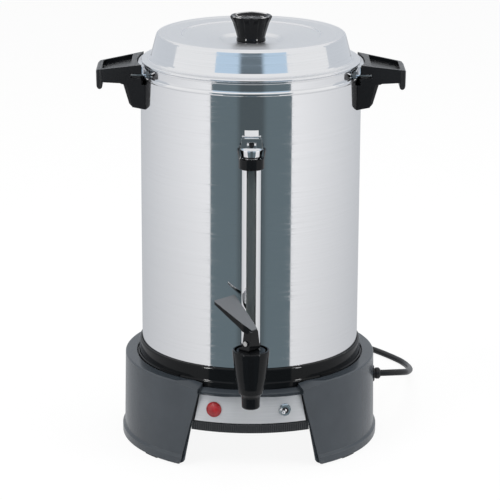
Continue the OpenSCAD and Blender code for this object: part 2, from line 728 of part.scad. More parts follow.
module switch_body() {
    bush = 3.1;
    color([0.15, 0.15, 0.16]) panel_at(switch_x) {
        difference() {
            union() {
                translate([-6.5, -10, -22]) cube([13, 20, 18.3]);
                rod(bush, -4, toggle_up + 1.6);
            }
            // the lever's ball sits in the bushing's mouth
            translate([0, 0, toggle_up]) sphere(r = 2.3, $fn = round_fn);
            translate([0, 0, toggle_up]) cylinder(r1 = 1.4, r2 = 3.1, h = 2.4, $fn = round_fn);
        }
        for (x = [-4, 4]) translate([x - 1.5, -0.4, -28]) cube([3, 0.8, 7]);
    }
}

module toggle_nut() {
    color("silver") panel_at(switch_x) difference() {
        union() {
            rod(6.6, 0, 0.8);
            translate([0, 0, 0.8]) cylinder(r = 6.2, h = 2, $fn = 6);
        }
        rod(3.12, -1, 4);
    }
}

// Bat handle, resting tipped to the left
module toggle_lever() {
    color("silver") panel_at(switch_x) translate([0, 0, toggle_up]) rotate([0, -toggle_swing, 0]) {
        turned(concat(arc([0, 0], 2, -90, 60, 7), [[1, 3.4], [1.5, 8], [1.9, 10]],
                      arc([0, 10.6], 1.9, 0, 90, 4)));
    }
}

module bottom_cover() {
    color("darkgray") difference() {
        intersection() {
            rod(cover_r, cover_z, cover_z + cover_t);
            base_form(base_wall + fit, 0, base_h - base_wall);
        }
        for (a = [45:90:315]) rotate([0, 0, a]) translate([boss_r, 0, 0])
            rod(2, cover_z - 1, cover_z + 5);
        for (i = [0:7], r = [56, 68, 80]) rotate([0, 0, 45 * i + 22.5])
            translate([r, 0, cover_z - 1]) linear_extrude(4) vent_slot(r / 3.4);
    }
}

module vent_slot(length) {
    polygon(concat(arc([0, length / 2], 2, 0, 180, 6), arc([0, -length / 2], 2, 180, 360, 6)));
}

module cover_screws() {
    color("gray") for (a = [45:90:315]) rotate([0, 0, a]) translate([boss_r, 0, 0]) {
        rod(1.55, cover_z - 0.5, cover_z + 11);
        translate([0, 0, cover_z - 2.2]) cylinder(r1 = 2.4, r2 = 3.6, h = 2.2, $fn = round_fn);
    }
}

// ---------------------------------------------------------------- heating and wiring

warmer_t = 3;
clamp_z = well_z - 0.2;

// Sheathed ring heater round the pump well, with its two cold ends
module heating_element() {
    r = 4;
    ring_r = well_r + fit + r;
    z = pot_z - warmer_t - 0.3 - r;
    color([0.35, 0.33, 0.3]) {
        rotate([0, 0, 20]) rotate_extrude(angle = 320, $fn = round_fn)
            translate([ring_r, z]) circle(r = r, $fn = 32);
        for (a = [20, 340]) rotate([0, 0, a]) translate([ring_r, 0, 0])
            rod(r - 0.6, z - 16, z);
    }
}

module warmer_plate() {
    color("silver") pipe(70, well_r + 0.6, pot_z - warmer_t, pot_z);
}

// Dished washer under the well that presses the heater up
module well_clamp() {
    z = pot_z - warmer_t - 8.6;
    color("gray") difference() {
        turned([[3.2, well_z - 5.6], [well_r - 8, well_z - 5.6], [well_r - 1, z - 1.2],
                [well_r + 10, z - 1.2], [well_r + 10, z], [well_r - 2, z],
                [well_r - 9, well_z - 4.4], [3.2, well_z - 4.4]]);
        // notch for the heater's cold ends
        translate([well_r - 2, -14, z - 5]) cube([20, 28, 10]);
    }
}

// Stud under the well with its nut
module clamp_nut() {
    color("gray") {
        rod(3, well_z - 12, well_z);
        translate([0, 0, well_z - 10.6]) cylinder(r = 6.2, h = 5, $fn = 6);
    }
}

module thermostat() {
    x = 52;
    z = pot_z - warmer_t;
    color([0.2, 0.16, 0.13]) translate([0, x, 0]) {
        rod(8, z - 10, z - 2);
        rod(9, z - 2, z);
        for (s = [-1, 1]) translate([s * 5 - 3, -0.4, z - 17]) cube([6, 0.8, 7]);
    }
}

module thermal_fuse() {
    z = pot_z - warmer_t - 3.2;
    color("beige") translate([-54, 0, z]) {
        rod_y(2.6, -8, 8);
        translate([-3.4, -3, 1.6]) cube([6.8, 6, 1.6]);
    }
}

// Leads between the cord, the switch, the lamp, the heater, the thermostat and the fuse
module wiring() {
    r = 1.3;
    cold_x = well_r + 2.6;           // the heater's cold ends
    cold_y = 9.7;
    cold_z = pot_z - warmer_t - 25;
    stat_z = pot_z - warmer_t - 17.6;
    fuse_z = pot_z - warmer_t - 3.2;
    lug = 28.4;                      // just past the ends of the switch's lugs, behind the panel
    in_r = relief_r0 - 15;           // end of the cord inside the shell
    in_x = in_r * cos(relief_turn);
    in_y = in_r * sin(relief_turn);
    routes = [
        [[in_x, in_y - 2, relief_z], [100, -20, 57], [70, -60, 58], [44, -86, 60],
         panel_point(switch_x, 4, lug + 1)],
        [panel_point(switch_x, -4, lug), [24, -80, 60], [24, -40, 62], [cold_x, -12, 67],
         [cold_x, -cold_y, cold_z]],
        [[cold_x, cold_y, cold_z], [26, 14, 66], [18, 36, 68], [6, 50, 75], [5, 52, stat_z]],
        [[-5, 52, stat_z], [-10, 50, 75], [-35, 36, 78], [-52, 15, 88], [-54, 8.6, fuse_z]],
        [[-54, -8.6, fuse_z], [-52, -18, 86], [-38, -40, 68], [0, -58, 60], [60, -44, 58],
         [98, -4, 57], [in_x, in_y + 2, relief_z]],
        [panel_point(lens_x, 0, 19.2), [-24, -102, 57], [0, -99, 55], [16, -100, 57],
         panel_point(switch_x, -6.3, lug - 1.4)]];
    color("white") for (p = routes) sweep(p, r, 8);
}

// ---------------------------------------------------------------- faucet

module at_faucet() { translate([0, -faucet_y, 0]) children(); }

module faucet_body() {
    top = faucet_top;
    tip = faucet_tip;
    s = shank_z;
    taper = faucet_r - 19;
    color([0.05, 0.05, 0.06]) difference() {
        union() {
            at_faucet() turned(concat(
                [[0, tip], [7.4, tip]], arc([7.4, tip + 1.8], 1.8, -90, 0, 4),
                [[9.6, s - 28], [10.2, s - 26.2], [12.3, s - 23.2], [13.8, s - 17.7],
                 [15.5, s - 8.5], [17.4 + taper, s + 6], [18.6 + taper, s + 16],
                 [faucet_r, top - 1.2], [faucet_r - 0.5, top - 0.3], [faucet_r - 1.1, top],
                 [0, top]]));
            translate([0, 0, s]) rod_y(shank_r, -faucet_y + 8, -pot_in + 16);
            // flange against the outer washer
            translate([0, 0, s]) rod_y(washer_r - 0.8, -pot_r - washer_t - 3, -pot_r - washer_t);
            // socket of the gauge, cut flat beside the washer
            difference() {
                translate([0, -gauge_y, 0]) rod(socket_r, s - 4, socket_top);
                translate([-20, -pot_r - washer_t, s - 20]) cube([40, 9, washer_r + 20.6]);
            }
        }
        at_faucet() {
            rod(16.9, bonnet_z0, top + 1);
            rod(12.4, valve_seat_z + 3, bonnet_z0 + 1);
            translate([0, 0, valve_seat_z]) cylinder(r1 = seat_bore, r2 = 12.4, h = 3 + eps,
                                                     $fn = round_fn);
            rod(seat_bore, tip - 1, valve_seat_z + 1);
        }
        translate([0, 0, s]) rod_y(6, -faucet_y + 6, -pot_in + 17);
        translate([0, -gauge_y, 0]) {
            rod(3, s, socket_top);
            rod(glass_r + 0.4, glass_z0 - 2.2, socket_top + 1);
            rod(shield_r + 0.15, socket_top - 3, socket_top + 1);
        }
    }
}

module shank_nut() {
    color("gray") difference() {
        translate([0, -pot_in + nut_seat, shank_z]) rotate([-90, 0, 0])
            cylinder(r = 15, h = 6, $fn = 6);
        translate([0, 0, shank_z]) rod_y(shank_r + 0.02, -pot_r, -pot_r + 60);
    }
}

// Silicone washers, shaped to the pot's curve on one side
module outer_washer() {
    color([0.55, 0.2, 0.15]) translate([0, 0, shank_z]) difference() {
        rod_y(washer_r, -pot_r - washer_t, -pot_r + 4);
        cylinder(r = pot_r + 0.05, h = 60, center = true, $fn = fine_fn);
        rod_y(shank_r + 0.02, -pot_r - 5, -pot_r + 20);
    }
}

module inner_washer() {
    color([0.55, 0.2, 0.15]) translate([0, 0, shank_z]) intersection() {
        difference() {
            rod_y(washer_r, -pot_r - 2, -pot_in + nut_seat);
            rod_y(shank_r + 0.02, -pot_r - 5, -pot_r + 20);
        }
        cylinder(r = pot_in - 0.05, h = 60, center = true, $fn = fine_fn);
    }
}

module bonnet() {
    color([0.05, 0.05, 0.06]) at_faucet() difference() {
        union() {
            rod(16.7, bonnet_z0, bonnet_z1 - 2.2);
            translate([0, 0, bonnet_z1 - 2.2]) cylinder(r1 = 16.4, r2 = 14.4, h = 2.2,
                                                        $fn = round_fn);
        }
        rod(rod_r + run_fit, bonnet_z0 - 1, bonnet_z1 + 1);
    }
}

// The lever's own frame: origin at the pin, +Y along the paddle
module at_lever() {
    translate([0, -faucet_y, pin_z]) rotate([0, 0, lever_turn]) children();
}

// Top face of the paddle above the pin, at a distance y along it
function paddle_z(y) = lever_top + (y + neck_t / 2) * tan(lever_rise);

module faucet_lever() {
    far = lever_len;
    half_out = 15.2;
    heel = 9;                        // the cam's heel, which lifts the pin as the paddle goes down
    color([0.05, 0.05, 0.06]) at_lever() difference() {
        union() {
            lever_paddle(far, half_out);
            lever_neck(heel);
        }
        rotate([0, 90, 0]) cylinder(r = pin_r + run_fit, h = 60, center = true, $fn = round_fn);
        // slot in which the valve stem swings past the lever
        rotate([90, 0, 90]) translate([0, 0, -rod_r - fit]) linear_extrude(2 * (rod_r + fit))
            polygon(concat([[-rod_r - fit, -cam_h - 1], [heel + 1, -cam_h - 1], [heel + 1, 0],
                            [neck_t, 1.4]], arc([0, 0], 4.2, 30, 180, 6)));
    }
}

module lever_paddle(far, half_out) {
    intersection() {
        rotate([90, 0, 90]) translate([0, 0, -30]) linear_extrude(60) polygon([
            [-neck_t / 2, lever_top - 6], [neck_t / 2, paddle_z(5) - 8.4], [9, paddle_z(9) - 6.8],
            [far / 2, paddle_z(far / 2) - 5.6], [far - 0.6, paddle_z(far) - 3],
            [far, paddle_z(far) - 2.4], [far, paddle_z(far) - 0.5], [far - 0.6, paddle_z(far) - 0.1],
            [-neck_t / 2 + 0.4, lever_top + 0.2], [-neck_t / 2, lever_top - 0.6]]);
        translate([0, 0, -20]) linear_extrude(80) polygon([
            [-lever_edge, -neck_t], [lever_edge, -neck_t], [lever_edge, -neck_t / 2],
            [7.2, 4], [half_out, far - 1.6], [half_out - 1.6, far], [-half_out + 1.6, far],
            [-half_out, far - 1.6], [-7.2, 4], [-lever_edge, -neck_t / 2]]);
    }
}

// Neck that widens downwards to the cam
module lever_neck(heel) {
    intersection() {
        rotate([90, 0, 90]) translate([0, 0, -30]) linear_extrude(60) polygon([
            [-3.4, -cam_h], [heel, -cam_h], [heel, -cam_h + 1.2], [heel - 0.8, -cam_h + 2.4],
            [neck_t / 2, -cam_h + 4], [neck_t / 2, paddle_z(5) - 4], [-neck_t / 2, lever_top - 2],
            [-neck_t / 2, -cam_h + 1.6]]);
        rotate([90, 0, 0]) translate([0, 0, -20]) linear_extrude(40) polygon([
            [-lever_foot, -cam_h - 1], [lever_foot, -cam_h - 1], [lever_edge, lever_top + 4],
            [-lever_edge, lever_top + 4]]);
    }
}

// Pin with a flat head at each end
module lever_pin() {
    head = 7.7;
    color("silver") at_lever() rotate([0, 90, 0]) {
        cylinder(r = pin_r, h = 2 * head + 1, center = true, $fn = round_fn);
        for (z = [-head - 1, head]) translate([0, 0, z]) cylinder(r = 2.6, h = 1, $fn = round_fn);
    }
}

module valve_stem() {
    color("gray") difference() {
        at_faucet() union() {
            rod(rod_r, valve_seat_z + 6, pin_z + 3);
            rod(rod_r + 2, valve_seat_z + cup_h + 0.6, valve_seat_z + cup_h + 2);
        }
        at_lever() rotate([0, 90, 0])
            cylinder(r = pin_r, h = 20, center = true, $fn = round_fn);
    }
}

// Silicone cup that closes on the valve seat
module seat_cup() {
    z = valve_seat_z + fit;
    color([0.75, 0.72, 0.66]) at_faucet() difference() {
        turned([[0, z + 0.1], [seat_bore - 0.4, z + 0.1], [cup_r - 1, z + 2.6],
                [cup_r, z + 3.6], [cup_r - 0.6, z + cup_h - 1], [rod_r + 2.4, z + cup_h],
                [0, z + cup_h]]);
        rod(rod_r + run_fit, valve_seat_z + 5.9, valve_seat_z + cup_h + 5);
    }
}

spring_z0 = valve_seat_z + cup_h + 2.1;
// Coil spring, drawn as a stack of rings
module valve_spring() {
    wire = 0.6;
    turns = 7;
    span = bonnet_z0 - 0.1 - spring_z0 - 2 * wire;
    color("silver") at_faucet() for (i = [0:turns - 1])
        translate([0, 0, spring_z0 + wire + span * i / (turns - 1)])
            rotate_extrude($fn = round_fn) translate([4, 0]) circle(r = wire, $fn = 16);
}

// ---------------------------------------------------------------- level gauge

module at_gauge() { translate([0, -gauge_y, 0]) children(); }

module gauge_glass() {
    color([0.8, 0.9, 0.95, 0.4]) at_gauge() pipe(glass_r, glass_r - 1.2, glass_z0, cap_z - 2.3);
}

// Polished channel round the glass, open towards the front
module gauge_shield() {
    open = 10;
    half = asin(open / 2 / shield_r);
    color("silver") at_gauge() rotate([0, 0, -90 + half])
        rotate_extrude(angle = 360 - 2 * half, $fn = round_fn)
            translate([shield_r - shield_t, socket_top - 2.9])
                square([shield_t, cap_z - 0.6 - socket_top + 2.9]);
}

// Black collar with a thin flared ear on each side of the cap
module gauge_collar() {
    r = shield_r + 3.3;
    gap = cap_r + 0.6;
    color([0.05, 0.05, 0.06]) difference() {
        at_gauge() turned([
            [shield_r + 0.2, collar_z], [r - 0.6, collar_z], [r, collar_z + 0.8], [r, cap_z - 0.8],
            [r + 1.9, cap_z + 9], [r + 1, cap_z + 9.3], [r - 1, cap_z], [shield_r + 0.2, cap_z]]);
        at_gauge() translate([-gap, -30, cap_z]) cube([2 * gap, 60, 12]);
        translate([0, 0, collar_z - 5]) cylinder(r = pot_r + 0.1, h = 40, $fn = fine_fn);
    }
}

cap_r = 11.5;                          // lip of the cap's bowl
box_y = -gauge_y + 0.5;                // front face of the cap's box

// Bright cap over the glass: a bowl, a box with a square pocket, and a strap up to the pot
module gauge_cap() {
    z = cap_z;
    half = cap_r - 0.2;
    top = z + 19.4;
    color("silver") difference() {
        union() {
            at_gauge() turned([
                [0, z + 0.1], [cap_r - 2.6, z + 0.1], [cap_r - 1.8, z + 1], [cap_r, z + 8.4],
                [cap_r - 0.2, z + 9.4], [cap_r - 1, z + 9.2], [cap_r - 3, z + 7.4], [0, z + 7]]);
            intersection() {
                translate([0, -pot_r + 5, 0]) rotate([90, 0, 0]) linear_extrude(40) polygon([
                    [-half, z + 6.8], [half, z + 6.8], [half - 1.2, top], [1.2 - half, top]]);
                at_gauge() rod(cap_r + 0.8, z + 6.8, top);
                rotate([90, 0, 90]) translate([0, 0, -20]) linear_extrude(40) polygon([
                    [box_y - 0.4, z + 6.8], [box_y + 0.8, top], [-pot_r + 5, top],
                    [-pot_r + 5, z + 6.8]]);
            }
            rotate([90, 0, 90]) translate([0, 0, -7]) linear_extrude(14) polygon([
                [box_y + 1.4, top - 2], [box_y + 1.4, top + 0.1], [-pot_r + 1, z + 26.3],
                [-pot_r + 1, top - 2]]);
        }
        translate([0, 0, z - 40]) cylinder(r = pot_r + 0.1, h = 100, $fn = fine_fn);
        // square pocket for the screw
        translate([-4.6, box_y - 2, z + 9.7]) cube([9.2, 8, 6]);
    }
}

module gauge_screw() {
    color([0.15, 0.15, 0.15]) translate([0, 0, cap_z + 12.7]) {
        rod_y(2.7, box_y + 3, box_y + 6);
    }
}

// Rubber seals at the two ends of the glass
module gauge_washers() {
    color([0.1, 0.1, 0.1]) at_gauge() {
        pipe(glass_r + 0.2, 4, glass_z0 - 2.1, glass_z0);
        pipe(glass_r, 4, cap_z - 2.3, cap_z + 0.1);
    }
}

// ---------------------------------------------------------------- percolator inside

module stem() {
    bore = stem_r - 1;
    stop_z = basket_z - fit;
    color("silver") difference() {
        union() {
            rod(stem_r, stem_z0, stem_top);
            // collar that the basket sits on, and the one under the pump disc
            turned([[0, stop_z - 8], [stem_r, stop_z - 8], [stem_r + 4, stop_z - 2],
                    [stem_r + 4, stop_z], [0, stop_z]]);
            rod(stem_r + 2.4, stem_z0, stem_z0 + 1);
        }
        rod(bore, stem_z0 - 1, stem_top + 1);
    }
}

// Flared foot that covers the well
module stem_base() {
    foot = pot_z + pot_wall + fit;
    r = well_r + 9;
    color("silver") difference() {
        turned([[stem_r + 0.02, foot + 12], [stem_r + 0.02, foot + 20], [stem_r + 1.2, foot + 20],
                [stem_r + 1.4, foot + 13.4], [r - 3, foot + 5], [r, foot + 1.6], [r, foot],
                [r - 1, foot], [r - 1.2, foot + 1.2], [r - 3.8, foot + 4]]);
        for (i = [0:7]) rotate([0, 0, 45 * i]) translate([well_r - 5, 0, foot + 2])
            cylinder(r = 2, h = 10, $fn = round_fn);
    }
}

// Loose valve disc in the well
module pump_disc() {
    z = stem_z0 + 1 + fit;
    color("silver") difference() {
        union() {
            pipe(well_r - 4.6, stem_r + 0.4, z, z + 1);
            pipe(stem_r + 2, stem_r + 0.4, z, z + 2.4);
        }
        for (i = [0:5]) rotate([0, 0, 60 * i]) translate([stem_r + 5.4, 0, 0])
            rod(1.2, z - 1, z + 4);
    }
}

module basket() {
    t = basket_wall;
    color("silver") difference() {
        turned([[basket_tube, basket_z], [basket_r - 3, basket_z], [basket_r, basket_z + 3],
                [basket_r, basket_top - 1], [basket_r + 3, basket_top - 1],
                [basket_r + 3, basket_top], [basket_r - t, basket_top],
                [basket_r - t, basket_z + 3.4], [basket_r - 3.4, basket_z + t],
                [basket_tube + t, basket_z + t], [basket_tube + t, basket_top - 4],
                [basket_tube, basket_top - 4]]);
        for (ring = [2:6]) for (i = [0:ring * 5 - 1])
            rotate([0, 0, 360 * (i + ring / 2) / (ring * 5)])
                translate([(basket_r - 5) * ring / 6.4, 0, 0])
                    rod(1.3, basket_z - 1, basket_z + 2);
    }
}

// Perforated cover of the basket
module spreader() {
    t = basket_wall;
    z = basket_top + fit;
    r = basket_r + 2.4;
    color("silver") difference() {
        turned([[stem_r + fit, z + 3], [stem_r + 4, z + 3], [stem_r + 8, z], [basket_r - 3, z],
                [basket_r - 2, z], [r, z], [r, z + 3.4], [r - t, z + 3.4], [r - t, z + t],
                [stem_r + 8.4, z + t], [stem_r + 4.4, z + 3 + t], [stem_r + fit, z + 3 + t]]);
        for (ring = [2:5]) for (i = [0:ring * 5 - 1])
            rotate([0, 0, 360 * (i + ring / 2) / (ring * 5)])
                translate([(basket_r - 6) * ring / 5.3, 0, 0]) rod(1.1, z - 1, z + 2);
    }
}

// ---------------------------------------------------------------- cord

// Moves to the strain relief's place in the shell's side, +Z along the cord's way out
module relief_place() {
    rotate([0, 0, relief_turn]) translate([relief_r0, 0, relief_z]) rotate([0, 90, 0]) children();
}

module strain_relief() {
    hole = relief_hole - 0.15;
    color([0.04, 0.04, 0.05]) relief_place() difference() {
        turned([[0, -14], [hole - 1.2, -14], [hole, -11], [hole, 0.6], [hole + 1.4, 0.7],
                [hole + 1.4, 2], [cord_r + 1.8, 2.4], [cord_r + 1.8, 3.4], [cord_r + 2.7, 4.2],
                [cord_r + 2.7, relief_len - 1.6], [cord_r + 1.2, relief_len], [0, relief_len]]);
        rod(cord_r + 0.05, -20, relief_len + 1);
    }
}

module cord() {
    inside = relief_r0 - 14;
    start = [inside * cos(relief_turn), inside * sin(relief_turn), relief_z];
    color([0.05, 0.05, 0.05]) {
        sweep(concat([start], cord_route), cord_r, 8);
        sweep(plug_lead, cord_r, 8);
    }
}

// Outer form of the coiled length
module cord_coil() {
    color([0.05, 0.05, 0.05]) translate([coil_at[0], coil_at[1], 0]) rotate_extrude($fn = 64)
        translate([coil_mid - cord_r, 0]) square([cord_d, coil_turns * cord_d]);
}

plug_at = [29.5, 282, 9];
module at_plug() { translate(plug_at) rotate([0, 0, 180]) children(); }

module plug() {
    color([0.05, 0.05, 0.05]) at_plug() {
        rotate([0, 90, 0]) turned([[0, -16], [cord_r + 0.4, -16], [cord_r + 2, 0], [0, 0]]);
        intersection() {
            translate([0, -12.5, -9]) cube([28, 25, 18]);
            rotate([0, 90, 0]) turned([[0, 0], [9, 0], [13.5, 8], [14, 24], [12.8, 27], [0, 27]]);
        }
    }
}

module plug_blades() {
    color("gold") at_plug() {
        for (s = [-1, 1]) translate([27, s * 6.35 - 0.75, -1]) cube([16, 1.5, 6.3]);
        translate([27, 0, -5]) rotate([0, 90, 0]) cylinder(r = 2.4, h = 19, $fn = round_fn);
    }
}

pot();
seat_ring();
base_shell();
control_housing();
control_plate();
pilot_lens();
pilot_lamp();
switch_body();
toggle_nut();
toggle_lever();
bottom_cover();
cover_screws();
rubber_feet();
heating_element();
warmer_plate();
well_clamp();
clamp_nut();
thermostat();
thermal_fuse();
wiring();
handle_left();
handle_right();
handle_brackets();
handle_screws();
faucet_body();
shank_nut();
outer_washer();
inner_washer();
bonnet();
faucet_lever();
lever_pin();
valve_stem();
seat_cup();
valve_spring();
gauge_glass();
gauge_shield();
gauge_collar();
gauge_cap();
gauge_screw();
gauge_washers();
lid();
knob();
knob_screw();
stem();
stem_base();
pump_disc();
basket();
spreader();
strain_relief();
cord();
cord_coil();
plug();
plug_blades();
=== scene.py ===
# Coffee urn: materials, cord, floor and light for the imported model.
import math

import bpy
from mathutils import Matrix, Vector


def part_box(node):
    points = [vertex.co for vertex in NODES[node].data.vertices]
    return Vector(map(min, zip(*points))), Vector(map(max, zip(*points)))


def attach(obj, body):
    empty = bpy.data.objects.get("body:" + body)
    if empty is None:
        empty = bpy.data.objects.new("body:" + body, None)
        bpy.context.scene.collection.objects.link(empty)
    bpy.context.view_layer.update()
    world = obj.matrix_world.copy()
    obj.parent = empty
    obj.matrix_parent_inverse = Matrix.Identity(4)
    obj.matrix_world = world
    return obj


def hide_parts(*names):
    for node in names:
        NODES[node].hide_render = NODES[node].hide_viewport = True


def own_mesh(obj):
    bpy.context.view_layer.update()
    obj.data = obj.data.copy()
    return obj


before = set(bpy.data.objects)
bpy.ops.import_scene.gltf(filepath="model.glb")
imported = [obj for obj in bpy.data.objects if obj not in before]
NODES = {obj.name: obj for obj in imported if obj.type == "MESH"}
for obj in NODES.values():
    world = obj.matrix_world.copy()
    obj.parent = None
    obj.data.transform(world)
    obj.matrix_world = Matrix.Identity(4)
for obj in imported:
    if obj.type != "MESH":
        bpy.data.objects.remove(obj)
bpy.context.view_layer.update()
MM = 0.001

# ---------------------------------------------------------------- camera

CAMERA_AT = (-0.021, -2.449, 0.903)
CAMERA_TURN = -0.49     # degrees about the upright axis
CAMERA_DOWN = 15.99     # degrees below level
CAMERA_ROLL = 0.27      # degrees


def link_new(name, data):
    """A new object in the scene."""
    obj = bpy.data.objects.new(name, data)
    bpy.context.scene.collection.objects.link(obj)
    return obj


def rotation(degrees, axis):
    """A rotation matrix."""
    return Matrix.Rotation(math.radians(degrees), 4, axis)


camera = link_new("camera", bpy.data.cameras.new("camera"))
camera.data.lens = 171.6
camera.data.sensor_width = 36
camera.data.clip_start = 0.1
camera.data.clip_end = 50
camera.matrix_world = (Matrix.Translation(CAMERA_AT) @ rotation(CAMERA_TURN, "Z")
                       @ rotation(90 - CAMERA_DOWN, "X") @ rotation(CAMERA_ROLL, "Z"))
bpy.context.scene.camera = camera

# ---------------------------------------------------------------- cord

CORD_D = 7 * MM
ROUTE = [
    (142.5, 12.5, 58.5), (147, 12.9, 58.5), (152.7, 14.2, 58.3), (158.8, 17, 57.6),
    (164.2, 21.1, 56.4), (168.5, 26.3, 54.8), (171.6, 32.4, 52.9), (173.9, 42.5, 49.6),
    (176.2, 56, 45.6), (178.4, 72, 40.7), (180.5, 90, 35.2), (182.4, 109, 29.3),
    (184, 128, 23.4), (185.4, 147, 17.4), (186.5, 165, 11.9), (187, 180, 7.8),
    (186.6, 193, 5), (184.4, 205, 3.7), (180, 215.8, 3.5), (174, 226, 3.5),
    (167, 236.4, 3.5), (158.8, 247.8, 3.5), (148.8, 260, 3.5), (137, 270.3, 3.5),
    (123, 277.8, 3.5), (105, 281.8, 3.5), (85, 282, 3.5)]
COIL_AT = (85, 243)     # the coil's axis, millimetres
COIL_R = 39
COIL_TURNS = 2
COIL_LOW = 3.5          # the height of the first turn's middle
COIL_RISE = 7           # from one turn to the next
RISE_FROM = 0.72        # the share of the first turn after which the cord rises
LEAD = [(85, 282, 10.5), (78, 282, 10.5), (70, 282, 10.3), (61, 282, 9.7), (52, 282, 9.2),
        (45, 282, 9)]


def coil_points():
    """Two turns, one on the other, that start over the route's last point."""
    points = []
    for i in range(1, 60):
        turn = i / 60 * COIL_TURNS
        angle = math.radians(90 + 360 * turn)
        rise = min(max((turn - RISE_FROM) / (1 - RISE_FROM), 0), 1)
        z = COIL_LOW + COIL_RISE * (3 * rise ** 2 - 2 * rise ** 3)
        points.append((COIL_AT[0] + COIL_R * math.cos(angle),
                       COIL_AT[1] + COIL_R * math.sin(angle), z))
    return points


def curve_object(name, points, radius):
    """A round tube along the points, its radius set on them."""
    data = bpy.data.curves.new(name, "CURVE")
    data.dimensions = "3D"
    data.bevel_depth = 1.0
    data.bevel_resolution = 5
    data.use_fill_caps = True
    spline = data.splines.new("POLY")
    spline.points.add(len(points) - 1)
    for point, at in zip(spline.points, points):
        point.co = (*at, 1)
        point.radius = radius
    return link_new(name, data)


def smooth_path(points, parts):
    """Points of a Catmull-Rom curve through the given ones, with parts steps between two."""
    ends = [2 * points[0] - points[1]] + points + [2 * points[-1] - points[-2]]
    path = []
    for i in range(1, len(ends) - 2):
        p0, p1, p2, p3 = ends[i - 1:i + 3]
        for part in range(parts):
            t = part / parts
            path.append(0.5 * (2 * p1 + (p2 - p0) * t + (2 * p0 - 5 * p1 + 4 * p2 - p3) * t * t
                               + (3 * p1 - p0 - 3 * p2 + p3) * t ** 3))
    return path + [points[-1]]


cord_path = smooth_path([Vector(p) * MM for p in ROUTE + coil_points() + LEAD], 3)
cord = curve_object("power_cord", cord_path, CORD_D / 2)
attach(cord, "urn")
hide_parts("cord", "cord_coil")

# ---------------------------------------------------------------- material helpers


